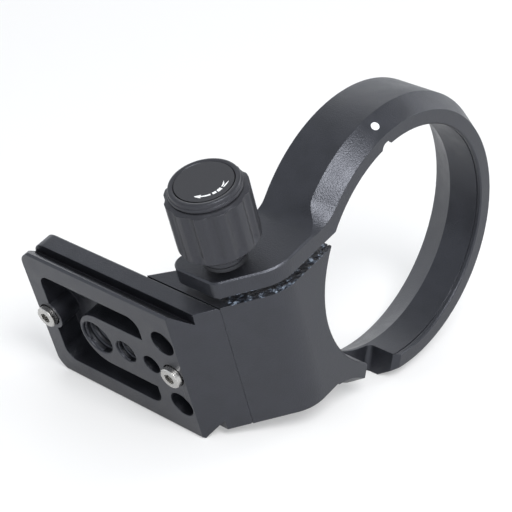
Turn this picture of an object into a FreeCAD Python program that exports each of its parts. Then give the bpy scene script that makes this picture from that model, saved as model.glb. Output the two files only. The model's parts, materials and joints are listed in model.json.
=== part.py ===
import FreeCAD, Part
import math
import os

# Lens tripod collar: a split ring on a leaning bracket, a dovetail foot
# plate screwed under it, and a knob whose screw pulls the split together.
# Origin: centre of the ring on the lens axis, halfway along the ring's width.
# X runs across (the knob is at -X), Y along the lens axis from the front
# face to the rear, Z up with the foot below the ring. Millimetres, degrees.

# Ring
bore_r = 29.0               # wall that grips the barrel
ring_width = 16.65          # along the lens axis
ring_wall = 6.5
bore_edge = 0.3             # edge break at the front
groove_start = 1.0          # fine groove round the bore, from the front face
groove_width = 0.35
groove_depth = 0.25
notch_r = 1.8               # round notch in the bore's front edge, at -X
notch_inset = 0.3           # its centre, inside the bore's wall
notch_depth = 1.2
flare_rise = 4.4            # rear mouth, outwards from the bore
flare_depth = 7.4
slope_rise = 3.0            # sloping front edge, inwards from the outside
slope_depth = 4.8           # the same edge, along the lens axis
slope_end_bracket_r = 15.0  # hollows in which the sloping edge runs out
slope_end_ear_r = 11.0
slope_end_ear_bite = 0.6    # depth of the hollow in the ear's outer face

# Cut-out in the ring at +X, open to the front face
cutout_angle = -29.5        # of its walls, above the X axis
cutout_above = 4.5          # from the lens axis to its upper wall
cutout_below = 7.5          # from the lens axis to its lower wall
cutout_depth = 8.5
cutout_corner_r = 1.5
cutout_bevel = 1.4          # at the upper wall's front corner

# Bracket between the ring and the foot
axis_height = 59.0          # lens axis above the foot's underside
bracket_half_width = 18.0
front_lean = 41.0           # front face, from upright
rear_lean = 47.4            # rear face, from upright
bend_height = 19.7          # where the leaning front turns upright
bend_r = 10.0
bracket_base_length = 21.9  # along Y, where the bracket stands on the foot

# Slit, and the ear that the knob pulls towards the bracket
slit_width = 2.6
ear_thickness = 4.3
ear_corner_r = 3.0
ear_bevel = 0.4             # round the front of its outer face
ear_blend_r = 6.0           # hollow between the ear and the ring's outside

# Foot plate
foot_length = 47.2          # along the underside
foot_thickness = 9.0
dovetail_width = 38.0
dovetail_land = 0.5         # edge break under the widest line
dovetail_height = 4.5
foot_corner_r = 4.5
flange_corner_r = 3.5
flange_edge = 0.4

# Pocket in the foot's underside, round a tongue that carries the threads
pocket_front = 10.7         # from the foot's front edge
pocket_side_wall = 1.7      # left beside the narrowest part of the dovetail
pocket_end_wall = 4.7
pocket_depth = 6.0
pocket_corner_r = 3.2
tongue_half_width = 7.35
tongue_end_overlap = 2.1    # its round end's centre, ahead of the large thread

# Tripod threads, drawn at their core, with the lead-in at their full size
small_thread_y = 18.4       # from the foot's front edge
small_thread_core_r = 2.6
small_thread_full_r = 3.2
large_thread_y = 27.7
large_thread_core_r = 4.0
large_thread_full_r = 4.8
pin_hole_y = 10.2
pin_hole_r = 2.45
pin_hole_depth = 5.5

# Screws that hold the foot, their heads sunk deep in its underside
foot_screw_x = 9.6
foot_screw_y = 3.8          # from the foot's front edge
foot_screw_length = 8.0
foot_screw_head_gap = 0.6
foot_screw_seat = 3.5       # plate left above the sunk heads

# Stop screws, their heads standing proud of the underside
stop_inset = 3.4            # from the foot's front and rear edges
stop_screw_length = 5.0
stop_screw_head_gap = 0.25
stop_recess = 1.5
stop_boss_r = 4.0

# Small socket screw, M3
small_screw_r = 1.5
small_head_r = 2.7
small_head_height = 3.0
small_key = 2.5             # across the flats of its socket
small_key_depth = 1.5

# Knob screw, M5
knob_screw_r = 2.5
knob_screw_length = 30.0
knob_head_r = 4.25
knob_head_height = 5.0
knob_key = 4.0
knob_key_depth = 2.5
knob_height = 16.0          # its axis above the foot's underside
knob_screw_spare = 2.9      # thread left in the bracket beyond the screw

# Knob and washer, drawn a little way open
grip_r = 9.2
sleeve_length = 13.6
skirt_edge = 0.6
flute_count = 12
flute_r = 1.6
flute_depth = 0.5
flute_end = 0.8             # left plain at both ends of the sleeve
neck_width = 0.3            # fine groove above the fluted sleeve
neck_depth = 0.4
band_inset = 0.15           # band above the groove, from the grip's radius
band_height = 1.0
band_edge = 0.4
rim_inset = 0.95            # top rim, from the grip's radius
rim_height = 0.8
rim_wall = 1.8
cap_thickness = 1.2
hub_r = 5.0
hub_length = 4.2
washer_thickness = 1.0
open_gap = 1.35             # between the washer and the ear, as drawn

# Clearances, in radius or along an axis
thread_gap = 0.05
screw_hole_gap = 0.15
knob_screw_hole_gap = 0.25
fit_gap = 0.05
tool_margin = 1.0           # by which a cut runs past a face

# Places worked out from the sizes
outer_r = bore_r + ring_wall
flare_r = bore_r + flare_rise
face_r = outer_r - slope_rise
front_y = -ring_width / 2
rear_y = ring_width / 2
foot_bottom = -axis_height
seam_z = foot_bottom + foot_thickness
ledge_z = foot_bottom + dovetail_height
bend_z = foot_bottom + bend_height
front_slope = math.tan(math.radians(front_lean))
rear_slope = math.tan(math.radians(rear_lean))
foot_front_y = front_y + bend_height * front_slope
foot_rear_y = foot_front_y + foot_length
seam_front_y = front_y + (bend_z - seam_z) * front_slope
seam_rear_y = seam_front_y + bracket_base_length
rear_bend_z = seam_z + (seam_rear_y - rear_y) / rear_slope
ear_inner_x = -(bracket_half_width + slit_width)
ear_outer_x = ear_inner_x - ear_thickness
knob_z = foot_bottom + knob_height
knob_y = (bend_z - knob_z) * front_slope


def flat(u, v):
    # Point of a flat drawing.
    return FreeCAD.Vector(u, v, 0)


def across(x):
    # Puts a drawing of (y, z) in the upright plane at x.
    return lambda p: FreeCAD.Vector(x, p.x, p.y)


def along(y):
    # Puts a drawing of (x, z) in the upright plane at y.
    return lambda p: FreeCAD.Vector(p.x, y, p.y)


def level(z):
    # Puts a drawing of (x, y) in the level plane at z.
    return lambda p: FreeCAD.Vector(p.x, p.y, z)


def outline(corners, place):
    # Closed face through corners (u, v, radius), each rounded by its radius.
    bends = []
    for i, (u, v, radius) in enumerate(corners):
        corner = flat(u, v)
        before = flat(*corners[i - 1][:2]).sub(corner).normalize()
        after = flat(*corners[(i + 1) % len(corners)][:2]).sub(corner).normalize()
        half = before.getAngle(after) / 2
        reach = radius / math.tan(half)
        middle = (before + after).normalize() * (radius / math.sin(half) - radius)
        bends.append((corner + before * reach, corner + middle, corner + after * reach, radius))
    edges = []
    for i, (start, middle, end, radius) in enumerate(bends):
        edges.append(Part.LineSegment(place(bends[i - 1][2]), place(start)).toShape())
        if radius:
            edges.append(Part.Arc(place(start), place(middle), place(end)).toShape())
    return Part.Face(Part.Wire(edges))


def sharp(points):
    # The same corners without rounding.
    return [(u, v, 0) for u, v in points]


def turned(points, axis, start=0.0, sweep=360.0):
    # Solid turned about an axis through the origin, from (radius, height).
    if axis == "y":
        profile = outline(sharp(points), level(0))
        turn = FreeCAD.Vector(0, -1, 0)
    else:
        profile = outline(sharp(points), along(0))
        turn = FreeCAD.Vector(0, 0, 1)
    centre = FreeCAD.Vector(0, 0, 0)
    profile.rotate(centre, turn, start)
    return profile.revolve(centre, turn, sweep)


def rod(radius, length, x, y, z, axis):
    return Part.makeCylinder(radius, length, FreeCAD.Vector(x, y, z), axis)


UP = FreeCAD.Vector(0, 0, 1)
BACK = FreeCAD.Vector(0, 1, 0)
RIGHT = FreeCAD.Vector(1, 0, 0)


def bracket_blank():
    # Top corners lie on the bore, which is cut afterwards.
    top = -math.sqrt(bore_r ** 2 - bracket_half_width ** 2)
    side = [
        (front_y, top, 0),
        (front_y, bend_z, bend_r),
        (seam_front_y, seam_z, 0),
        (seam_rear_y, seam_z, 0),
        (rear_y, rear_bend_z, bend_r / 2),
        (rear_y, top, 0),
    ]
    return outline(side, across(-bracket_half_width)).extrude(RIGHT * (2 * bracket_half_width))


def at_ear_front(edge):
    # True for an edge of the ear's outer face that follows its front profile.
    middle = edge.CenterOfMass
    profile_y = front_y + max(0.0, bend_z - middle.z) * front_slope
    return abs(middle.x - ear_outer_x) < fit_gap and middle.y - profile_y < ring_width / 3


def ear_blank():
    # A strip as wide as the ring, with the bracket's front profile. Its top
    # lies inside the ring's wall.
    top = -math.sqrt((bore_r + ring_wall / 2) ** 2 - ear_outer_x ** 2)
    side = [
        (front_y, top, 0),
        (front_y, bend_z, bend_r),
        (seam_front_y, seam_z, ear_corner_r),
        (seam_front_y + ring_width, seam_z, ear_corner_r),
        (rear_y, bend_z, bend_r),
        (rear_y, top, 0),
    ]
    ear = outline(side, across(ear_outer_x)).extrude(RIGHT * ear_thickness)
    return ear.makeChamfer(ear_bevel, [e for e in ear.Edges if at_ear_front(e)])


def ear_blend():
    # Fills the corner between the ear and the ring, hollowed by an arc.
    centre_x = ear_outer_x - ear_blend_r
    centre_z = -math.sqrt((outer_r + ear_blend_r) ** 2 - centre_x ** 2)
    centre = FreeCAD.Vector(centre_x, front_y, centre_z)
    hub = FreeCAD.Vector(0, front_y, 0)
    to_ring = (hub - centre).normalize()
    to_ear = FreeCAD.Vector(1, 0, 0)
    on_ring = centre + to_ring * ear_blend_r
    on_arc = centre + (to_ring + to_ear).normalize() * ear_blend_r
    on_ear = centre + to_ear * ear_blend_r
    in_ring = on_ring + to_ring * (ring_wall / 2)
    in_ear = on_ear + to_ear * (ear_thickness / 2)
    edges = [
        Part.Arc(on_ear, on_arc, on_ring).toShape(),
        Part.LineSegment(on_ring, in_ring).toShape(),
        Part.LineSegment(in_ring, in_ear).toShape(),
        Part.LineSegment(in_ear, on_ear).toShape(),
    ]
    return Part.Face(Part.Wire(edges)).extrude(BACK * ring_width)


def bore_cut():
    # Gripping wall with a fine groove near the front, and a flared rear mouth.
    slope = flare_rise / flare_depth
    groove_y = front_y + groove_start
    return turned([
        (0, front_y - tool_margin),
        (bore_r + bore_edge + tool_margin, front_y - tool_margin),
        (bore_r, front_y + bore_edge),
        (bore_r, groove_y),
        (bore_r + groove_depth, groove_y),
        (bore_r + groove_depth, groove_y + groove_width),
        (bore_r, groove_y + groove_width),
        (bore_r, rear_y - flare_depth),
        (flare_r + slope * tool_margin, rear_y + tool_margin),
        (0, rear_y + tool_margin),
    ], "y")


def slope_cut():
    # Sloping front edge of the ring. At each end it runs out in a hollow,
    # which clears the bracket's flank and bites a little into the ear.
    slope = slope_rise / slope_depth
    past_r = outer_r + tool_margin
    ends = []
    for side_x, end_r, bite in (
            (bracket_half_width, slope_end_bracket_r, -fit_gap),
            (ear_outer_x, slope_end_ear_r, slope_end_ear_bite)):
        x = math.copysign(abs(side_x) + end_r - bite, side_x)
        z = -math.sqrt((face_r + end_r) ** 2 - x ** 2)
        cone = Part.makeCone(
            end_r + slope * tool_margin, 0, tool_margin + end_r / slope,
            FreeCAD.Vector(x, front_y - tool_margin, z), BACK)
        ends.append((math.degrees(math.atan2(z, x)), cone))
    (bracket_angle, bracket_cone), (ear_angle, ear_cone) = ends
    ring = turned([
        (face_r - slope * tool_margin, front_y - tool_margin),
        (past_r, front_y - tool_margin),
        (past_r, front_y + slope_depth + tool_margin / slope),
    ], "y", bracket_angle, 360 + ear_angle - bracket_angle)
    return [ring, bracket_cone, ear_cone]


def cutout_cut():
    # Straight-sided notch through the ring's wall, rounded where it ends.
    notch = outline([
        (-cutout_below, front_y - tool_margin, 0),
        (cutout_above + cutout_bevel + tool_margin, front_y - tool_margin, 0),
        (cutout_above, front_y + cutout_bevel, 0),
        (cutout_above, front_y + cutout_depth, cutout_corner_r),
        (-cutout_below, front_y + cutout_depth, cutout_corner_r),
    ], lambda p: FreeCAD.Vector(bore_r - ring_wall, p.y, p.x)).extrude(RIGHT * (3 * ring_wall))
    notch.rotate(FreeCAD.Vector(0, 0, 0), BACK, -cutout_angle)
    return notch


def slit_cut():
    # Opens the ring's wall between the bracket's flank and the ear.
    reach = outer_r + tool_margin
    return Part.makeBox(
        slit_width, ring_width + 2 * tool_margin, reach,
        FreeCAD.Vector(ear_inner_x, front_y - tool_margin, -reach))


def collar_body():
    body = rod(outer_r, ring_width, 0, front_y, 0, BACK)
    body = body.fuse([bracket_blank(), ear_blank(), ear_blend()]).removeSplitter()
    cuts = [bore_cut(), cutout_cut(), slit_cut()] + slope_cut()
    cuts.append(rod(
        notch_r, notch_depth + tool_margin, notch_inset - bore_r, front_y - tool_margin, 0, BACK))
    ear_hole_r = knob_screw_r + knob_screw_hole_gap
    start_x = ear_outer_x - tool_margin
    cuts.append(rod(ear_hole_r, ear_thickness + 2 * tool_margin, start_x, knob_y, knob_z, RIGHT))
    thread_x = -bracket_half_width - slit_width / 2
    thread_length = screw_end_x() + knob_screw_spare - thread_x
    cuts.append(rod(knob_screw_r + thread_gap, thread_length, thread_x, knob_y, knob_z, RIGHT))
    for side in (-1, 1):
        depth = foot_screw_length - foot_screw_seat + small_screw_r
        cuts.append(rod(
            small_screw_r + thread_gap, depth + tool_margin,
            side * foot_screw_x, foot_front_y + foot_screw_y, seam_z - tool_margin, UP))
    return body.cut(cuts).removeSplitter()


def foot_plan(half_width, corner_r, z, height):
    # Plate seen from above, rounded at the rear corners.
    plan = outline([
        (-half_width, seam_front_y - tool_margin, 0),
        (half_width, seam_front_y - tool_margin, 0),
        (half_width, foot_rear_y, corner_r),
        (-half_width, foot_rear_y, corner_r),
    ], level(z))
    return plan.extrude(UP * height)


def foot_blank():
    half = dovetail_width / 2
    neck = half - (dovetail_height - dovetail_land)
    section = outline(sharp([
        (-half + dovetail_land, foot_bottom),
        (half - dovetail_land, foot_bottom),
        (half, foot_bottom + dovetail_land),
        (neck, ledge_z),
        (-neck, ledge_z),
        (-half, foot_bottom + dovetail_land),
    ]), along(seam_front_y - tool_margin))
    dovetail = section.extrude(BACK * (foot_rear_y - seam_front_y + 2 * tool_margin))
    dovetail = dovetail.common(foot_plan(half, foot_corner_r, foot_bottom, dovetail_height))
    flange = foot_plan(bracket_half_width, flange_corner_r, ledge_z, seam_z - ledge_z)
    rim = [e for e in flange.Edges if min(v.Z for v in e.Vertexes) > seam_z - fit_gap]
    flange = flange.makeChamfer(flange_edge, rim)
    side = outline(sharp([
        (foot_front_y, foot_bottom),
        (foot_rear_y, foot_bottom),
        (foot_rear_y, seam_z),
        (seam_front_y, seam_z),
    ]), across(-half)).extrude(RIGHT * dovetail_width)
    return dovetail.fuse(flange).removeSplitter().common(side)


def tongue():
    # Bar left standing in the pocket, with its round end.
    centre_y = foot_front_y + large_thread_y - tongue_end_overlap
    start_y = foot_front_y + pocket_front - tool_margin
    bar = Part.makeBox(
        2 * tongue_half_width, centre_y - start_y, pocket_depth,
        FreeCAD.Vector(-tongue_half_width, start_y, foot_bottom))
    return bar.fuse(rod(tongue_half_width, pocket_depth, 0, centre_y, foot_bottom, UP))


def pocket_cut():
    half = dovetail_width / 2 - (dovetail_height - dovetail_land) - pocket_side_wall
    start_y = foot_front_y + pocket_front
    end_y = foot_rear_y - pocket_end_wall
    plan = outline([
        (-half, start_y, pocket_corner_r),
        (half, start_y, pocket_corner_r),
        (half, end_y, pocket_corner_r),
        (-half, end_y, pocket_corner_r),
    ], level(foot_bottom)).extrude(UP * pocket_depth)
    boss = rod(stop_boss_r, pocket_depth, 0, foot_rear_y - stop_inset, foot_bottom, UP)
    return plan.cut([tongue(), boss])


def thread_cut(core_r, full_r, y):
    # Core of a thread right through the plate, with a lead-in at both faces.
    lead = full_r - core_r
    hole = turned([
        (0, foot_bottom - tool_margin),
        (full_r + tool_margin, foot_bottom - tool_margin),
        (core_r, foot_bottom + lead),
        (core_r, seam_z - lead),
        (full_r + tool_margin, seam_z + tool_margin),
        (0, seam_z + tool_margin),
    ], "z")
    hole.translate(FreeCAD.Vector(0, foot_front_y + y, 0))
    return hole


def screw_cuts(x, y, recess_r, recess_depth, hole_r, hole_length):
    recess = rod(recess_r, recess_depth + tool_margin, x, y, foot_bottom - tool_margin, UP)
    hole = rod(hole_r, recess_depth + hole_length, x, y, foot_bottom, UP)
    return [recess, hole]


def foot_plate():
    cuts = [
        pocket_cut(),
        thread_cut(small_thread_core_r, small_thread_full_r, small_thread_y),
        thread_cut(large_thread_core_r, large_thread_full_r, large_thread_y),
        rod(pin_hole_r, pin_hole_depth, 0, foot_front_y + pin_hole_y, foot_bottom, UP),
    ]
    for side in (-1, 1):
        cuts += screw_cuts(
            side * foot_screw_x, foot_front_y + foot_screw_y,
            small_head_r + foot_screw_head_gap, foot_thickness - foot_screw_seat,
            small_screw_r + screw_hole_gap, foot_screw_seat + tool_margin)
    for y in (foot_front_y + stop_inset, foot_rear_y - stop_inset):
        cuts += screw_cuts(
            0, y, small_head_r + stop_screw_head_gap, stop_recess,
            small_screw_r + thread_gap, stop_screw_length + screw_hole_gap)
    return foot_blank().cut(cuts)


def socket_screw(shank_r, length, head_r, head_height, key, key_depth):
    # Head from the origin upwards, then the shank, with a hexagon socket.
    edge = shank_r / 6
    screw = turned([
        (0, 0),
        (head_r - edge, 0),
        (head_r, edge),
        (head_r, head_height),
        (shank_r, head_height),
        (shank_r, head_height + length),
        (0, head_height + length),
    ], "z")
    corner_r = key / math.sqrt(3)
    points = [(math.radians(60 * i), corner_r) for i in range(6)]
    hexagon = [(r * math.cos(a), r * math.sin(a)) for a, r in points]
    return screw.cut(outline(sharp(hexagon), level(0)).extrude(UP * key_depth))


def small_screw(length, x, y, head_z):
    screw = socket_screw(
        small_screw_r, length, small_head_r, small_head_height, small_key, small_key_depth)
    screw.translate(FreeCAD.Vector(x, y, head_z))
    return screw


def foot_screw(side):
    head_z = seam_z - foot_screw_seat - small_head_height
    y = foot_front_y + foot_screw_y
    return small_screw(foot_screw_length, side * foot_screw_x, y, head_z)


def stop_screw(y):
    return small_screw(stop_screw_length, 0, y, foot_bottom + stop_recess - small_head_height)


def on_knob(shape):
    # Takes a shape drawn upright on the knob's skirt to its place, facing -X.
    skirt_x = ear_outer_x - open_gap - washer_thickness - fit_gap - hub_length
    shape.rotate(FreeCAD.Vector(0, 0, 0), BACK, -90)
    shape.translate(FreeCAD.Vector(skirt_x, knob_y, knob_z))
    return shape


def knob_top():
    return sleeve_length + neck_width + band_height + rim_height


def screw_seat():
    # Height above the skirt at which the screw's head sits in the knob.
    return knob_top() - cap_thickness - fit_gap - knob_head_height


def screw_end_x():
    below_skirt = knob_screw_length - screw_seat()
    return ear_outer_x - open_gap - washer_thickness - fit_gap - hub_length + below_skirt


def knob_grip():
    band_r = grip_r - band_inset
    rim_r = grip_r - rim_inset
    band_z = sleeve_length + neck_width
    rim_z = band_z + band_height
    top = knob_top()
    recess_r = rim_r - rim_wall + fit_gap
    grip = turned([
        (knob_screw_r + fit_gap, -hub_length),
        (hub_r, -hub_length),
        (hub_r, 0),
        (grip_r - skirt_edge, 0),
        (grip_r, skirt_edge),
        (grip_r, sleeve_length),
        (grip_r - neck_depth, sleeve_length),
        (grip_r - neck_depth, band_z),
        (band_r, band_z),
        (band_r, rim_z - band_edge),
        (band_r - band_edge, rim_z),
        (rim_r, rim_z),
        (rim_r, top),
        (recess_r, top),
        (recess_r, top - cap_thickness),
        (knob_head_r + fit_gap, top - cap_thickness),
        (knob_head_r + fit_gap, screw_seat()),
        (knob_screw_r + fit_gap, screw_seat()),
    ], "z")
    flutes = []
    for i in range(flute_count):
        angle = 2 * math.pi * (i + 0.5) / flute_count
        centre_r = grip_r + flute_r - flute_depth
        flutes.append(rod(
            flute_r, sleeve_length - 2 * flute_end,
            centre_r * math.cos(angle), centre_r * math.sin(angle), flute_end, UP))
    return on_knob(grip.cut(flutes))


def knob_cap():
    cap = rod(grip_r - rim_inset - rim_wall, cap_thickness, 0, 0, knob_top() - cap_thickness, UP)
    return on_knob(cap)


def knob_screw():
    screw = socket_screw(
        knob_screw_r, knob_screw_length, knob_head_r, knob_head_height, knob_key, knob_key_depth)
    screw.rotate(FreeCAD.Vector(0, 0, 0), RIGHT, 180)
    screw.translate(UP * (screw_seat() + knob_head_height))
    return on_knob(screw)


def thrust_washer():
    washer = rod(hub_r, washer_thickness, 0, 0, -hub_length - fit_gap - washer_thickness, UP)
    hole = rod(
        knob_screw_r + screw_hole_gap, washer_thickness + 2 * tool_margin,
        0, 0, -hub_length - washer_thickness - tool_margin, UP)
    return on_knob(washer.cut(hole))


parts = {
    "collar_body": collar_body(),
    "foot_plate": foot_plate(),
    "foot_screw_left": foot_screw(-1),
    "foot_screw_right": foot_screw(1),
    "stop_screw_front": stop_screw(foot_front_y + stop_inset),
    "stop_screw_rear": stop_screw(foot_rear_y - stop_inset),
    "knob_grip": knob_grip(),
    "knob_cap": knob_cap(),
    "knob_screw": knob_screw(),
    "thrust_washer": thrust_washer(),
}

os.makedirs("parts", exist_ok=True)
for name, shape in parts.items():
    solids = shape.Solids
    print(name, len(solids), "solid", round(shape.Volume), "mm3", "valid" if shape.isValid() else "INVALID")
    shape.exportStep("parts/" + name + ".step")
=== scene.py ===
import json
import math

import bmesh
import bpy
from mathutils import Matrix, Vector


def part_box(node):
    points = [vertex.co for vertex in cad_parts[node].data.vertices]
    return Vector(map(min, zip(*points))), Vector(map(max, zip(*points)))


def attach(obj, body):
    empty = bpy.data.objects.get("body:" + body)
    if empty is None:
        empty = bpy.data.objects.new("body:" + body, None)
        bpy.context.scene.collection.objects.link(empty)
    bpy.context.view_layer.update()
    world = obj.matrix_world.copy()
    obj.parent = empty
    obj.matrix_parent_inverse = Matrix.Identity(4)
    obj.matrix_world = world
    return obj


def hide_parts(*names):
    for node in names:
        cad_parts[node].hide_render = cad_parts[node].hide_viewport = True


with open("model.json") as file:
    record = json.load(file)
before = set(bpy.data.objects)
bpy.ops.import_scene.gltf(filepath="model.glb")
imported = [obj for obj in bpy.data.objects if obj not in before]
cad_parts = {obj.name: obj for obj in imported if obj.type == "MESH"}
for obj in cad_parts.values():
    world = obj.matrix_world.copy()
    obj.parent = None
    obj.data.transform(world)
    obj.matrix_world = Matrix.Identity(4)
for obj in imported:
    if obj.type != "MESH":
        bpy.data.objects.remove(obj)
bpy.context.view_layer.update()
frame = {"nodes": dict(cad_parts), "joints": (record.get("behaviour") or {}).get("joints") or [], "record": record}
print("frame loaded:", len(frame["nodes"]), "nodes")

mm = 0.001
white = (1.0, 1.0, 1.0, 1.0)

# where things are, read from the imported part
jointByName = {joint["name"]: joint for joint in frame["joints"]}
mountByName = {mount["name"]: mount for mount in frame["record"]["mounts"]}
knobAxisPoint = Vector(jointByName["knob_spin"]["pos_m"])     # on the knob's axis, at its skirt
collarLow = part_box("collar_body")[0]
gripLow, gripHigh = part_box("knob_grip")
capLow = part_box("knob_cap")[0]


# small helpers

def addObject(name, mesh, body, material=None):
    piece = bpy.data.objects.new(name, mesh)
    bpy.context.scene.collection.objects.link(piece)
    if material:
        mesh.materials.append(material)
    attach(piece, body)
    return piece


def meshFromBmesh(name, bm, smoothAngle=30.0):
    bmesh.ops.recalc_face_normals(bm, faces=bm.faces)
    mesh = bpy.data.meshes.new(name)
    bm.to_mesh(mesh)
    bm.free()
    for face in mesh.polygons:
        face.use_smooth = True
    mesh.set_sharp_from_angle(angle=math.radians(smoothAngle))
    return mesh


def facing(direction, place):
    # a placing at this point with its Z turned this way
    return Matrix.Translation(place) @ direction.to_track_quat("Z", "Y").to_matrix().to_4x4()


def blend(low, high, share):
    return low + (high - low) * share


def setSockets(node, values):
    for name, value in values.items():
        node.inputs[name].default_value = value


def linkSockets(tree, node, links):
    for name, output in links.items():
        tree.links.new(output, node.inputs[name])


def addMath(tree, operation, first, second=None):
    node = tree.nodes.new("ShaderNodeMath")
    node.operation = operation
    for socket, value in zip(node.inputs, (first, second)):
        if isinstance(value, bpy.types.NodeSocket):
            tree.links.new(value, socket)
        elif value is not None:
            socket.default_value = value
    return node.outputs["Value"]


def multiplyAll(tree, product, *others):
    for other in others:
        product = addMath(tree, "MULTIPLY", product, other)
    return product


# materials

def newMaterial(name):
    material = bpy.data.materials.new(name)
    material.use_nodes = True
    tree = material.node_tree
    shader = tree.nodes["Principled BSDF"]
    place = tree.nodes.new("ShaderNodeTexCoord")
    return material, tree, shader, place.outputs["Object"]


def addNoise(tree, place, scale, detail=2.0, roughness=0.5):
    noise = tree.nodes.new("ShaderNodeTexNoise")
    setSockets(noise, {"Scale": scale, "Detail": detail, "Roughness": roughness})
    linkSockets(tree, noise, {"Vector": place})
    return noise.outputs["Fac"]


def addRamp(tree, fac, stops):
    stops = list(stops)
    ramp = tree.nodes.new("ShaderNodeValToRGB")
    elements = ramp.color_ramp.elements
    while len(elements) < len(stops):
        elements.new(0.5)
    for element, (position, colour) in zip(elements, stops):
        element.position = position
        element.color = (*colour, 1.0)
    linkSockets(tree, ramp, {"Fac": fac})
    return ramp.outputs["Color"]


def addRange(tree, value, given, wanted):
    spread = tree.nodes.new("ShaderNodeMapRange")
    setSockets(spread, {"From Min": given[0], "From Max": given[1]})
    setSockets(spread, {"To Min": wanted[0], "To Max": wanted[1]})
    linkSockets(tree, spread, {"Value": value})
    return spread.outputs["Result"]


def addBump(tree, height, distance, strength, normal):
    bump = tree.nodes.new("ShaderNodeBump")
    setSockets(bump, {"Distance": distance, "Strength": strength})
    linkSockets(tree, bump, {"Height": height, "Normal": normal})
    return bump.outputs["Normal"]


def softEdge(tree, radius):
    # makes sharp edges catch the light as if they were rounded
    bevel = tree.nodes.new("ShaderNodeBevel")
    bevel.samples = 6
    setSockets(bevel, {"Radius": radius})
    return bevel.outputs["Normal"]


anodised = {
    "dark": (0.0065, 0.007, 0.0085),
    "light": (0.0120, 0.0125, 0.0160),
    "cloud": 260.0,              # slow change of the dye
    "cloudShare": 0.6,           # its part in the tint
    "grain": 3200.0,             # bead-blasted pits, per metre
    "grainShare": 0.4,
    "grainDepth": 0.110 * mm,
    "grainStrength": 0.6,
    "levels": (0.35, 0.65),      # of the noise, from dark to light
    "rough": (0.29, 0.42),
    "edge": 0.18 * mm,
    "sheen": (0.86, 0.89, 1.0),
    "ior": 1.68,
}
# walls of the slit: a sawn bump, with painted highlights on the flakes and painted shade in the pits
slitSettings = {
    "x": (-20.7 * mm, -17.95 * mm),
    "z": (-48.0 * mm, -16.0 * mm),
    # the painted highlights and painted shade reach as far in as the sawn texture
    "reach": 6.0 * mm,           # how far in from the front face the torn finish shows
    "leanZ": -39.3 * mm,         # the front face is upright down to here, then leans back
    "lean": 41.0,                # degrees from upright
    "grain": 620.0,
    "depth": 0.5 * mm,
    # level of the noise and painted colour, from painted shade in the pits to painted highlights on the flakes
    "paintedGlint": [(0.49, (0.001, 0.001, 0.002)), (0.56, (0.04, 0.05, 0.07)), (0.64, (0.28, 0.34, 0.42))],
}


def slitMask(tree, place):
    # 1 on the walls of the slit near the front face, 0 elsewhere; the sawn bump, the painted highlights and the
    # painted shade go there
    split = tree.nodes.new("ShaderNodeSeparateXYZ")
    linkSockets(tree, split, {"Vector": place})
    x, y, z = (split.outputs[axis] for axis in "XYZ")
    leaning = addMath(tree, "MAXIMUM", addMath(tree, "SUBTRACT", slitSettings["leanZ"], z), 0.0)
    back = addMath(tree, "MULTIPLY", leaning, math.tan(math.radians(slitSettings["lean"])))
    depth = addMath(tree, "SUBTRACT", y, addMath(tree, "ADD", back, collarLow.y))
    return multiplyAll(
        tree,
        addMath(tree, "GREATER_THAN", x, slitSettings["x"][0]),
        addMath(tree, "LESS_THAN", x, slitSettings["x"][1]),
        addMath(tree, "GREATER_THAN", z, slitSettings["z"][0]),
        addMath(tree, "LESS_THAN", z, slitSettings["z"][1]),
        addMath(tree, "LESS_THAN", depth, slitSettings["reach"]))


def anodisedMetal(name, sawnSlitWithGlints=False):
    material, tree, shader, place = newMaterial(name)
    cloud = addNoise(tree, place, anodised["cloud"], 3.0)
    grain = addNoise(tree, place, anodised["grain"], 2.0, 0.6)
    cloudPart = addMath(tree, "MULTIPLY", cloud, anodised["cloudShare"])
    grainPart = addMath(tree, "MULTIPLY", grain, anodised["grainShare"])
    mixed = addMath(tree, "ADD", cloudPart, grainPart)
    tint = addRamp(tree, mixed, zip(anodised["levels"], (anodised["dark"], anodised["light"])))
    rough = addRange(tree, mixed, anodised["levels"], anodised["rough"])
    edge = softEdge(tree, anodised["edge"])
    normal = addBump(tree, grain, anodised["grainDepth"], anodised["grainStrength"], edge)
    if sawnSlitWithGlints:
        inside = slitMask(tree, place)
        tornBumpAndGlint = addNoise(tree, place, slitSettings["grain"], 4.0, 0.7)
        tornHeight = addMath(tree, "MULTIPLY", tornBumpAndGlint, inside)
        normal = addBump(tree, tornHeight, slitSettings["depth"], 1.0, normal)
        # painted highlights and painted shade: in the slit the colour runs from near-black pits to bright
        # blue-grey flakes
        paintedGlint = addRamp(tree, tornBumpAndGlint, slitSettings["paintedGlint"])
        swap = tree.nodes.new("ShaderNodeMix")
        swap.data_type = "RGBA"
        linkSockets(tree, swap, {"Factor": inside, "A": tint, "B": paintedGlint})
        tint = swap.outputs["Result"]
    linkSockets(tree, shader, {"Base Color": tint, "Roughness": rough, "Normal": normal})
    setSockets(shader, {"Metallic": 0.0, "IOR": anodised["ior"]})
    setSockets(shader, {"Specular Tint": (*anodised["sheen"], 1.0)})
    return material


plastic = {
    "levels": (0.3, 0.7),
    "tintSpread": 0.25,
    "roughSpread": 0.05,
    "poreStrength": 0.6,
    "ior": 1.5,
}


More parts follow.
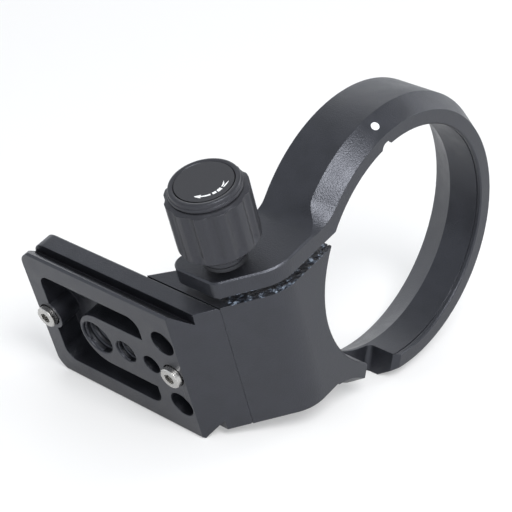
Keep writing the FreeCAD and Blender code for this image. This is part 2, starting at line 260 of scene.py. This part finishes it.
def mouldedPlastic(name, base, roughness, grain, depth, edge):
    material, tree, shader, place = newMaterial(name)
    pores = addNoise(tree, place, grain, 3.0, 0.6)
    dark = tuple((1 - plastic["tintSpread"]) * part for part in base)
    light = tuple((1 + plastic["tintSpread"]) * part for part in base)
    tint = addRamp(tree, pores, zip(plastic["levels"], (dark, light)))
    spread = plastic["roughSpread"]
    rough = addRange(tree, pores, plastic["levels"], (roughness - spread, roughness + spread))
    normal = addBump(tree, pores, depth, plastic["poreStrength"], softEdge(tree, edge))
    linkSockets(tree, shader, {"Base Color": tint, "Roughness": rough, "Normal": normal})
    setSockets(shader, {"IOR": plastic["ior"], "Specular Tint": (*anodised["sheen"], 1.0)})
    return material


steel = {
    "grain": 2600.0,
    "levels": (0.3, 0.7),
    "darkShare": 0.82,
    "roughSpread": (-0.06, 0.08),
    "markDepth": 0.008 * mm,
    "markStrength": 0.5,
    "edge": 0.1 * mm,
}


def turnedSteel(name, base, roughness, metallic=1.0):
    material, tree, shader, place = newMaterial(name)
    marks = addNoise(tree, place, steel["grain"], 4.0, 0.7)
    dark = tuple(steel["darkShare"] * part for part in base)
    tint = addRamp(tree, marks, zip(steel["levels"], (dark, base)))
    rough = addRange(tree, marks, steel["levels"], [roughness + spread for spread in steel["roughSpread"]])
    normal = addBump(tree, marks, steel["markDepth"], steel["markStrength"], softEdge(tree, steel["edge"]))
    linkSockets(tree, shader, {"Base Color": tint, "Roughness": rough, "Normal": normal})
    setSockets(shader, {"Metallic": metallic})
    return material


ink = {
    "grain": 3800.0,
    "tint": [(0.3, (0.74, 0.75, 0.76)), (0.6, (0.86, 0.87, 0.88))],
    "levels": (0.3, 0.7),
    "rough": (0.45, 0.6),
}


def printedInk(name):
    material, tree, shader, place = newMaterial(name)
    wear = addNoise(tree, place, ink["grain"], 3.0)
    tint = addRamp(tree, wear, ink["tint"])
    rough = addRange(tree, wear, ink["levels"], ink["rough"])
    linkSockets(tree, shader, {"Base Color": tint, "Roughness": rough})
    return material


# the collar's material also carries the painted highlights and painted shade of the slit
bodyMetal = anodisedMetal("anodisedCollar", sawnSlitWithGlints=True)
footMetal = anodisedMetal("anodisedFoot")
knobPlastic = mouldedPlastic(
    "knobPlastic", base=(0.022, 0.022, 0.025), roughness=0.35, grain=4200.0, depth=0.02 * mm, edge=0.15 * mm)
capPlastic = mouldedPlastic(
    "capPlastic", base=(0.024, 0.024, 0.026), roughness=0.5, grain=6000.0, depth=0.012 * mm, edge=0.08 * mm)
washerNylon = mouldedPlastic(
    "washerNylon", base=(0.02, 0.02, 0.021), roughness=0.5, grain=3000.0, depth=0.01 * mm, edge=0.1 * mm)
brightSteel = turnedSteel("brightSteel", base=(0.62, 0.61, 0.59), roughness=0.26)
blackSteel = turnedSteel("blackOxideSteel", base=(0.03, 0.03, 0.033), roughness=0.4, metallic=0.6)
zincSteel = turnedSteel("zincSteel", base=(0.5, 0.5, 0.5), roughness=0.32)
whiteInk = printedInk("whiteInk")
print("materials made")


# dressing of the CAD nodes

nodeMaterials = {
    "collar_body": bodyMetal,
    "foot_plate": footMetal,
    "foot_screw_left": blackSteel,
    "foot_screw_right": blackSteel,
    "stop_screw_front": brightSteel,
    "stop_screw_rear": brightSteel,
    "knob_grip": knobPlastic,
    "knob_cap": capPlastic,
    "knob_screw": zincSteel,
    "thrust_washer": washerNylon,
}

for nodeName, material in nodeMaterials.items():
    node = frame["nodes"][nodeName]
    node.data.materials.clear()
    node.data.materials.append(material)
print("nodes dressed")


# finer copy of the foot: rounded edges, and holes opened to the thread's full size

threadSettings = {
    "quarter_inch_thread": {"fullRadius": 3.15 * mm, "pitch": 1.27 * mm},
    "three_eighths_thread": {"fullRadius": 4.72 * mm, "pitch": 1.5875 * mm},
}
footSettings = {
    "mergeDistance": 0.002 * mm,
    "flatAngle": 0.3,             # degrees; faces that turn less than this become one
    "sharpAngle": 30.0,           # degrees; an edge that turns more than this is rounded
    "thinnest": 0.30 * mm,        # an edge is rounded only between faces as wide as this
    "edgeWidth": 0.13 * mm,
    "edgeSteps": 2,
    "normalWeight": 80,
    "coreTolerance": 0.03 * mm,   # how near the core's radius a point of a hole's wall is
}


def mergedCopy(nodeName):
    bm = bmesh.new()
    bm.from_mesh(frame["nodes"][nodeName].data)
    bmesh.ops.remove_doubles(bm, verts=bm.verts, dist=footSettings["mergeDistance"])
    flat = math.radians(footSettings["flatAngle"])
    bmesh.ops.dissolve_limit(bm, angle_limit=flat, verts=bm.verts, edges=bm.edges)
    return bm


def faceWidth(face):
    return face.calc_area() / max(edge.calc_length() for edge in face.edges)


def hasRoom(edge):
    return min(faceWidth(face) for face in edge.link_faces) >= footSettings["thinnest"]


def roundEdges(bm):
    limit = math.radians(footSettings["sharpAngle"])
    joining = [edge for edge in bm.edges if len(edge.link_faces) == 2]
    chosen = [edge for edge in joining if edge.calc_face_angle(0.0) >= limit and hasRoom(edge)]
    bmesh.ops.bevel(
        bm, geom=chosen, offset=footSettings["edgeWidth"], offset_type="OFFSET",
        segments=footSettings["edgeSteps"], profile=0.5, affect="EDGES", clamp_overlap=False)
    return len(chosen)


def openThreads(bm):
    # moves the walls of the threaded holes out from the core
    for name, thread in threadSettings.items():
        centre = Vector(mountByName[name]["pos_m"])
        core = mountByName[name]["dims"]["r_mm"] * mm
        for vert in bm.verts:
            away = Vector((vert.co.x - centre.x, vert.co.y - centre.y))
            if abs(away.length - core) < footSettings["coreTolerance"]:
                away.length = thread["fullRadius"]
                vert.co.x, vert.co.y = centre.x + away.x, centre.y + away.y


def makeFoot():
    bm = mergedCopy("foot_plate")
    count = roundEdges(bm)
    openThreads(bm)
    foot = addObject("footPlateFine", meshFromBmesh("footPlateFine", bm), "collar", footMetal)
    weigh = foot.modifiers.new("weigh", "WEIGHTED_NORMAL")
    weigh.keep_sharp = True
    weigh.weight = footSettings["normalWeight"]
    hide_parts("foot_plate")
    print("foot made:", count, "edges rounded")


makeFoot()


# node trees

def newTree(name, inputs):
    tree = bpy.data.node_groups.new(name, "GeometryNodeTree")
    for label, (kind, value) in inputs.items():
        socket = tree.interface.new_socket(label, in_out="INPUT", socket_type=kind)
        if value is not None:
            socket.default_value = value
    tree.interface.new_socket("Geometry", in_out="OUTPUT", socket_type="NodeSocketGeometry")
    return tree, tree.nodes.new("NodeGroupInput").outputs, tree.nodes.new("NodeGroupOutput")


def addStep(tree, kind, links=None, **values):
    node = tree.nodes.new(kind)
    for key, value in values.items():
        setattr(node, key, value)
    for name, value in (links or {}).items():
        socket = node.inputs[name]
        if isinstance(value, bpy.types.NodeSocket):
            tree.links.new(value, socket)
        else:
            socket.default_value = value
    return node


def endTree(tree, geometry, material, output):
    real = addStep(tree, "GeometryNodeRealizeInstances", {"Geometry": geometry})
    dressed = addStep(tree, "GeometryNodeSetMaterial", {
        "Geometry": real.outputs["Geometry"], "Material": material})
    linkSockets(tree, output, {"Geometry": dressed.outputs["Geometry"]})


def growMesh(name, tree, values, base=None):
    # runs a tree once and keeps the result as a plain mesh
    start = base or bpy.data.meshes.new(name + "Start")
    holder = bpy.data.objects.new(name + "Start", start)
    bpy.context.scene.collection.objects.link(holder)
    grow = holder.modifiers.new("grow", "NODES")
    grow.node_group = tree
    for item in tree.interface.items_tree:
        if item.in_out == "INPUT" and item.name in values:
            grow[item.identifier] = values[item.name]
    result = holder.evaluated_get(bpy.context.evaluated_depsgraph_get())
    mesh = bpy.data.meshes.new_from_object(result)
    mesh.name = name
    bpy.data.objects.remove(holder)
    return mesh


# tripod threads: a ridge that winds down the wall of each hole

ridgeSettings = {
    "turnSegments": 40,
    "sides": 3,
    "size": 0.46,                # its radius in pitches, so that its crest is at the core
}


def threadTree():
    tree, given, output = newTree("threadRidge", {
        "Radius": ("NodeSocketFloat", 3.0 * mm),
        "Pitch": ("NodeSocketFloat", 1.27 * mm),
        "Length": ("NodeSocketFloat", 8.0 * mm),
        "Material": ("NodeSocketMaterial", None),
    })
    spiral = addStep(tree, "GeometryNodeCurveSpiral", {
        "Resolution": ridgeSettings["turnSegments"],
        "Rotations": addMath(tree, "DIVIDE", given["Length"], given["Pitch"]),
        "Start Radius": given["Radius"],
        "End Radius": given["Radius"],
        "Height": given["Length"],
        "Reverse": True,
    })
    upright = addStep(tree, "GeometryNodeSetCurveNormal", {"Curve": spiral.outputs["Curve"]}, mode="Z_UP")
    profile = addStep(tree, "GeometryNodeCurvePrimitiveCircle", {
        "Resolution": ridgeSettings["sides"],
        "Radius": addMath(tree, "MULTIPLY", given["Pitch"], ridgeSettings["size"]),
    })
    ridge = addStep(tree, "GeometryNodeCurveToMesh", {
        "Curve": upright.outputs["Curve"], "Profile Curve": profile.outputs["Curve"], "Fill Caps": True})
    endTree(tree, ridge.outputs["Mesh"], given["Material"], output)
    return tree


def makeThreads():
    tree = threadTree()
    for name, thread in threadSettings.items():
        mount = mountByName[name]
        length = mount["dims"]["length_mm"] * mm
        mesh = growMesh(name + "Ridge", tree, {
            "Radius": thread["fullRadius"],
            "Pitch": thread["pitch"],
            "Length": length,
            "Material": footMetal,
        })
        centre = Vector(mount["pos_m"])
        mesh.transform(Matrix.Translation(centre - Vector((0, 0, length / 2))))
        addObject(name + "Ridge", mesh, "collar")
    print("threads made")


makeThreads()


# knob grip: a turned outline, pressed in where the flutes are

knobSettings = {
    "segments": 192,
    "smoothAngle": 42.0,
    # millimetres above the skirt and radius, from the hub's foot round to the recess for the cap
    "hub": [
        (-4.2, 2.55), (-4.2, 4.85), (-4.05, 5.0), (-1.3, 5.0), (-1.25, 6.9),
        (-1.1, 7.35), (-0.75, 7.8), (-0.3, 8.12), (0.2, 8.32),
    ],
    "sleeveRows": [
        0.7, 1.2, 1.6, 2.0, 2.4, 2.8, 3.4, 5.0, 7.0, 9.0, 11.0, 11.8, 12.2, 12.5, 12.8, 13.0, 13.2,
    ],
    "head": [
        (13.45, 8.34), (13.6, 8.15), (13.6, 7.75), (13.9, 7.75), (13.94, 8.0), (14.04, 8.1), (14.5, 8.1),
        (14.66, 8.02), (14.73, 7.84), (15.33, 7.8), (15.56, 7.72), (15.68, 7.56), (15.7, 7.35),
        (15.7, 6.82), (15.6, 6.66), (15.3, 6.52), (14.45, 6.52), (14.45, 4.3), (12.0, 4.3), (12.0, 2.55),
    ],
    "fluteCount": 12,
    "fluteRadius": 1.7 * mm,
    "fluteDepth": 0.72 * mm,
    "fluteLow": 0.2 * mm,         # heights between which the flutes run, and how they fade out
    "fluteHigh": 13.6 * mm,
    "fadeLow": 2.2 * mm,
    "fadeHigh": 0.8 * mm,
    "wallShare": 0.93,            # only points farther out than this share of the radius move
}


def turnOutline(name, outline):
    # turns a closed outline of (height, radius) round the knob's axis
    segments = knobSettings["segments"]
    bm = bmesh.new()
    rings = []
    for height, radius in outline:
        ring = []
        for i in range(segments):
            turn = 2 * math.pi * i / segments
            away = Vector((-height, radius * math.cos(turn), radius * math.sin(turn)))
            ring.append(bm.verts.new(knobAxisPoint + away))
        rings.append(ring)
    for low, high in zip(rings, rings[1:] + rings[:1]):
        for i in range(segments):
            j = (i + 1) % segments
            bm.faces.new((low[i], low[j], high[j], high[i]))
    return meshFromBmesh(name, bm, knobSettings["smoothAngle"])


def easedShare(tree, distance, fade):
    # 0 at the start of a fade and 1 past its end, eased at both
    share = addMath(tree, "DIVIDE", distance, fade)
    held = addMath(tree, "MINIMUM", addMath(tree, "MAXIMUM", share, 0.0), 1.0)
    easing = addMath(tree, "SUBTRACT", 3.0, addMath(tree, "MULTIPLY", held, 2.0))
    return multiplyAll(tree, held, held, easing)


def fluteTree():
    tree, given, output = newTree("fluteGrip", {
        "Geometry": ("NodeSocketGeometry", None),
        "Axis Y": ("NodeSocketFloat", 0.0),
        "Axis Z": ("NodeSocketFloat", 0.0),
        "Skirt X": ("NodeSocketFloat", 0.0),
        "Grip Radius": ("NodeSocketFloat", 8.4 * mm),
        "Flute Count": ("NodeSocketFloat", 12.0),
        "Flute Radius": ("NodeSocketFloat", 2.2 * mm),
        "Flute Depth": ("NodeSocketFloat", 0.5 * mm),
        "Low": ("NodeSocketFloat", 0.0),
        "High": ("NodeSocketFloat", 13.0 * mm),
        "Fade Low": ("NodeSocketFloat", 2.0 * mm),
        "Fade High": ("NodeSocketFloat", 1.0 * mm),
        "Material": ("NodeSocketMaterial", None),
    })

    def work(operation, first, second=None):
        return addMath(tree, operation, first, second)

    # each point's place round the knob and along it
    place = addStep(tree, "GeometryNodeInputPosition")
    split = addStep(tree, "ShaderNodeSeparateXYZ", {"Vector": place.outputs["Position"]})
    side = work("SUBTRACT", split.outputs["Y"], given["Axis Y"])
    up = work("SUBTRACT", split.outputs["Z"], given["Axis Z"])
    height = work("SUBTRACT", given["Skirt X"], split.outputs["X"])
    radius = work("SQRT", work("ADD", work("MULTIPLY", side, side), work("MULTIPLY", up, up)))
    turns = work("DIVIDE", work("ARCTAN2", up, side), 2 * math.pi)

    # how far it is from the middle of its flute, and how deep the flute's arc is there
    fromMiddle = work("SUBTRACT", work("FRACT", work("MULTIPLY", turns, given["Flute Count"])), 0.5)
    pitch = work("DIVIDE", work("MULTIPLY", given["Grip Radius"], 2 * math.pi), given["Flute Count"])
    across = work("MULTIPLY", fromMiddle, pitch)
    fluteSquare = work("MULTIPLY", given["Flute Radius"], given["Flute Radius"])
    arcSquare = work("SUBTRACT", fluteSquare, work("MULTIPLY", across, across))
    arc = work("SQRT", work("MAXIMUM", arcSquare, 0.0))
    sunk = work("SUBTRACT", work("ADD", arc, given["Flute Depth"]), given["Flute Radius"])
    groove = work("MAXIMUM", sunk, 0.0)

    # the flute fades out at both ends, and the inside of the knob stays round
    fadedLow = easedShare(tree, work("SUBTRACT", height, given["Low"]), given["Fade Low"])
    fadedHigh = easedShare(tree, work("SUBTRACT", given["High"], height), given["Fade High"])
    wallRadius = work("MULTIPLY", given["Grip Radius"], knobSettings["wallShare"])
    onWall = work("GREATER_THAN", radius, wallRadius)
    inward = work("DIVIDE", multiplyAll(tree, groove, fadedLow, fadedHigh, onWall, -1.0), radius)
    shift = addStep(tree, "ShaderNodeCombineXYZ", {
        "Y": work("MULTIPLY", side, inward), "Z": work("MULTIPLY", up, inward)})
    moved = addStep(tree, "GeometryNodeSetPosition", {
        "Geometry": given["Geometry"], "Offset": shift.outputs["Vector"]})
    endTree(tree, moved.outputs["Geometry"], given["Material"], output)
    return tree


def makeKnob():
    gripRadius = (gripHigh.z - gripLow.z) / 2
    hub = [(height * mm, radius * mm) for height, radius in knobSettings["hub"]]
    sleeve = [(height * mm, gripRadius) for height in knobSettings["sleeveRows"]]
    head = [(height * mm, radius * mm) for height, radius in knobSettings["head"]]
    blank = turnOutline("knobBlank", hub + sleeve + head)
    mesh = growMesh("knobFine", fluteTree(), {
        "Axis Y": knobAxisPoint.y,
        "Axis Z": knobAxisPoint.z,
        "Skirt X": knobAxisPoint.x,
        "Grip Radius": gripRadius,
        "Flute Count": float(knobSettings["fluteCount"]),
        "Flute Radius": knobSettings["fluteRadius"],
        "Flute Depth": knobSettings["fluteDepth"],
        "Low": knobSettings["fluteLow"],
        "High": knobSettings["fluteHigh"],
        "Fade Low": knobSettings["fadeLow"],
        "Fade High": knobSettings["fadeHigh"],
        "Material": knobPlastic,
    }, blank)
    knob = addObject("knobFine", mesh, "knob")
    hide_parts("knob_grip")
    print("knob made, radius", round(gripRadius / mm, 2))


makeKnob()


# white dot on the sloping edge of the ring

dotSettings = {
    "radius": 1.0 * mm,
    "topShare": 0.97,             # the top's radius, as a share of the foot's
    "thickness": 0.03 * mm,
    "ringRadius": 34.08 * mm,     # from the lens axis to the dot
    "depth": 2.525 * mm,          # behind the front face
    "slope": (3.0, 4.8),          # the slope's rise inwards and its depth
    "sides": 40,
}


def makeDot():
    rise, depth = dotSettings["slope"]
    away = Vector((-depth, -rise, 0.0)).normalized()
    centre = Vector((-dotSettings["ringRadius"], collarLow.y + dotSettings["depth"], 0.0))
    bm = bmesh.new()
    bmesh.ops.create_cone(
        bm, cap_ends=True, segments=dotSettings["sides"], radius1=dotSettings["radius"],
        radius2=dotSettings["radius"] * dotSettings["topShare"], depth=2 * dotSettings["thickness"])
    bmesh.ops.transform(bm, matrix=facing(away, centre), verts=bm.verts)
    addObject("whiteDot", meshFromBmesh("whiteDot", bm), "collar", whiteInk)
    print("dot made")


makeDot()


# turning arrow printed on the knob's cap, along an arc round the knob's axis

arrowSettings = {
    "radius": 4.8 * mm,
    "thickness": 0.02 * mm,       # above the cap's top, and as much below it
    "step": 2.0,                  # degrees
    # from angle, to angle, half-width in millimetres at both: the head and three dashes
    "strips": [
        (-106.5, -124.0, 0.03, 0.52),
        (-124.0, -148.6, 0.16, 0.24),
        (-154.0, -164.5, 0.30, 0.32),
        (-168.0, -181.0, 0.34, 0.38),
    ],
    "tail": {
        "from": -186.5,
        "notch": -197.0,          # where the slot between its two halves begins to widen
        "to": -210.0,
        "half": 0.58,
        "startShare": 0.55,       # of the half-width, where the tail begins
        "slot": 0.10,
        "widening": 0.42,
    },
}


def arcPoint(degrees, radius, height):
    # the cap's top faces -X
    turn = math.radians(degrees)
    y = knobAxisPoint.y + radius * math.cos(turn)
    z = knobAxisPoint.z + radius * math.sin(turn)
    return Vector((capLow.x - height, y, z))


def addStrip(bm, start, end, edgesAt):
    # a thin closed strip between two radii, which change along it
    steps = max(2, round(abs(end - start) / arrowSettings["step"]))
    thickness = arrowSettings["thickness"]
    rows = []
    for i in range(steps + 1):
        degrees = blend(start, end, i / steps)
        inner, outer = edgesAt(i / steps)
        corners = [(inner, -thickness), (inner, thickness), (outer, thickness), (outer, -thickness)]
        rows.append([bm.verts.new(arcPoint(degrees, radius, height)) for radius, height in corners])
    for before, after in zip(rows, rows[1:]):
        for i in range(4):
            j = (i + 1) % 4
            bm.faces.new((before[i], before[j], after[j], after[i]))
    bm.faces.new(rows[0])
    bm.faces.new(rows[-1][::-1])


def stripEdges(share, halfStart, halfEnd):
    half = blend(halfStart, halfEnd, share) * mm
    return arrowSettings["radius"] - half, arrowSettings["radius"] + half


def tailEdges(share, side):
    tail = arrowSettings["tail"]
    notchShare = (tail["notch"] - tail["from"]) / (tail["to"] - tail["from"])
    inner = tail["slot"] + tail["widening"] * max(0.0, share - notchShare) / (1 - notchShare)
    outer = tail["half"] * blend(tail["startShare"], 1.0, share)
    return arrowSettings["radius"] + side * inner * mm, arrowSettings["radius"] + side * outer * mm


def makeArrow():
    bm = bmesh.new()
    for start, end, halfStart, halfEnd in arrowSettings["strips"]:
        addStrip(bm, start, end, lambda share: stripEdges(share, halfStart, halfEnd))
    tail = arrowSettings["tail"]
    for side in (-1, 1):
        addStrip(bm, tail["from"], tail["to"], lambda share: tailEdges(share, side))
    addObject("turningArrow", meshFromBmesh("turningArrow", bm), "knob", whiteInk)
    print("arrow made")


makeArrow()


# camera

cameraSettings = {
    "place": (-0.2700, -0.226325, -0.22424),
    "right": (0.19906, -0.74374, 0.63814),
    "down": (0.73924, -0.31353, -0.59601),
    "ahead": (0.64335, 0.59038, 0.48739),
    "lens": 125.85,
    "sensor": 36.0,
    "nearest": 0.01,
    "farthest": 20.0,
}


def addCamera():
    data = bpy.data.cameras.new("photoCamera")
    data.lens = cameraSettings["lens"]
    data.sensor_width = cameraSettings["sensor"]
    data.clip_start = cameraSettings["nearest"]
    data.clip_end = cameraSettings["farthest"]
    camera = bpy.data.objects.new("photoCamera", data)
    right, down, ahead = (Vector(cameraSettings[key]) for key in ("right", "down", "ahead"))
    turn = Matrix((right, -down, -ahead)).transposed()
    camera.matrix_world = Matrix.Translation(cameraSettings["place"]) @ turn.to_4x4()
    bpy.context.scene.collection.objects.link(camera)
    bpy.context.scene.camera = camera


# floor: the part lies on its side, on the ring and the foot's edge

floorSettings = {
    "down": (0.955, 0.0, -0.2966),
    "drop": 35.55 * mm,
    "size": 1.6,
    "colour": (0.86, 0.875, 0.91),
    "shade": 0.60,                # how much of the shadow shows
    "glow": 0.33,                 # white that the camera sees besides
    "mirroredGlow": 0.15,         # and that the metal reflects
}


def floorMaterial():
    # clear from behind; the camera and the metal see a faint shaded floor that glows
    material = bpy.data.materials.new("paleFloor")
    material.use_nodes = True
    tree = material.node_tree
    tree.nodes.clear()
    output = tree.nodes.new("ShaderNodeOutputMaterial")
    lit = tree.nodes.new("ShaderNodeBsdfDiffuse")
    faint = tree.nodes.new("ShaderNodeBsdfDiffuse")
    glow = tree.nodes.new("ShaderNodeEmission")
    clear = tree.nodes.new("ShaderNodeBsdfTransparent")
    ray = tree.nodes.new("ShaderNodeLightPath").outputs
    face = tree.nodes.new("ShaderNodeNewGeometry")
    pale = tree.nodes.new("ShaderNodeAddShader")
    seen = tree.nodes.new("ShaderNodeMixShader")
    behind = tree.nodes.new("ShaderNodeMixShader")
    mirrored = addMath(tree, "MAXIMUM", ray["Is Glossy Ray"], ray["Is Transmission Ray"])
    looked = addMath(tree, "MAXIMUM", ray["Is Camera Ray"], mirrored)
    glowSeen = addMath(tree, "MULTIPLY", ray["Is Camera Ray"], floorSettings["glow"])
    glowMirrored = addMath(tree, "MULTIPLY", mirrored, floorSettings["mirroredGlow"])
    setSockets(lit, {"Color": (*floorSettings["colour"], 1.0)})
    setSockets(faint, {"Color": (*[floorSettings["shade"]] * 3, 1.0)})
    setSockets(glow, {"Color": white})
    linkSockets(tree, glow, {"Strength": addMath(tree, "MAXIMUM", glowSeen, glowMirrored)})
    linkSockets(tree, pale, {0: faint.outputs["BSDF"], 1: glow.outputs["Emission"]})
    linkSockets(tree, seen, {"Fac": looked, 1: lit.outputs["BSDF"], 2: pale.outputs["Shader"]})
    linkSockets(tree, behind, {
        "Fac": face.outputs["Backfacing"], 1: seen.outputs["Shader"], 2: clear.outputs["BSDF"]})
    linkSockets(tree, output, {"Surface": behind.outputs["Shader"]})
    return material


def addFloor():
    down = Vector(floorSettings["down"]).normalized()
    bm = bmesh.new()
    bmesh.ops.create_grid(bm, x_segments=1, y_segments=1, size=floorSettings["size"])
    mesh = bpy.data.meshes.new("floor")
    bm.to_mesh(mesh)
    bm.free()
    mesh.materials.append(floorMaterial())
    floor = bpy.data.objects.new("floor", mesh)
    floor.matrix_world = facing(-down, down * floorSettings["drop"])
    bpy.context.scene.collection.objects.link(floor)


# light: a pale room that is brighter near the floor, and three soft lamps, of which near is the main one

lightSettings = {
    "ambient": 1.0,
    "ambientColour": (0.93, 0.96, 1.0),
    # how far a direction points up from the floor, and the room's brightness there
    "heights": [(0.0, 1.3), (0.18, 0.95), (0.40, 0.68), (1.0, 0.62)],
    "target": (-0.010, 0.010, -0.020),
    "lamps": {
        "near": {"from": (-0.80, -0.57, -0.10), "distance": 0.60, "size": 0.30, "power": 3.0},
        "front": {"from": (-0.14, -0.31, 0.94), "distance": 0.60, "size": 0.25, "power": 0.8},
        "rear": {"from": (-0.20, 0.90, 0.75), "distance": 0.70, "size": 0.40, "power": 0.5},
    },
}


def addWorld():
    # the camera sees plain white where no floor is
    world = bpy.data.worlds.new("whiteRoom")
    bpy.context.scene.world = world
    world.use_nodes = True
    tree = world.node_tree
    tree.nodes.clear()
    output = tree.nodes.new("ShaderNodeOutputWorld")
    room = tree.nodes.new("ShaderNodeBackground")
    plain = tree.nodes.new("ShaderNodeBackground")
    ray = tree.nodes.new("ShaderNodeLightPath").outputs
    place = tree.nodes.new("ShaderNodeTexCoord")
    mix = tree.nodes.new("ShaderNodeMixShader")
    height = tree.nodes.new("ShaderNodeVectorMath")
    height.operation = "DOT_PRODUCT"
    setSockets(height, {1: -Vector(floorSettings["down"]).normalized()})
    linkSockets(tree, height, {0: place.outputs["Generated"]})
    tint = lightSettings["ambientColour"]
    shades = [(at, tuple(level * part for part in tint)) for at, level in lightSettings["heights"]]
    setSockets(room, {"Strength": lightSettings["ambient"]})
    setSockets(plain, {"Color": white, "Strength": 1.0})
    linkSockets(tree, room, {"Color": addRamp(tree, height.outputs["Value"], shades)})
    linkSockets(tree, mix, {
        "Fac": ray["Is Camera Ray"], 1: room.outputs["Background"], 2: plain.outputs["Background"]})
    linkSockets(tree, output, {"Surface": mix.outputs["Shader"]})


def addLamps():
    target = Vector(lightSettings["target"])
    for name, lamp in lightSettings["lamps"].items():
        data = bpy.data.lights.new(name, "AREA")
        data.shape = "DISK"
        data.size = lamp["size"]
        data.energy = lamp["power"]
        away = Vector(lamp["from"]).normalized()
        light = bpy.data.objects.new(name, data)
        light.matrix_world = facing(away, target + away * lamp["distance"])
        bpy.context.scene.collection.objects.link(light)


addCamera()
addFloor()
addWorld()
addLamps()
bpy.context.scene.view_settings.view_transform = "Standard"
print("camera, floor and lamps placed")
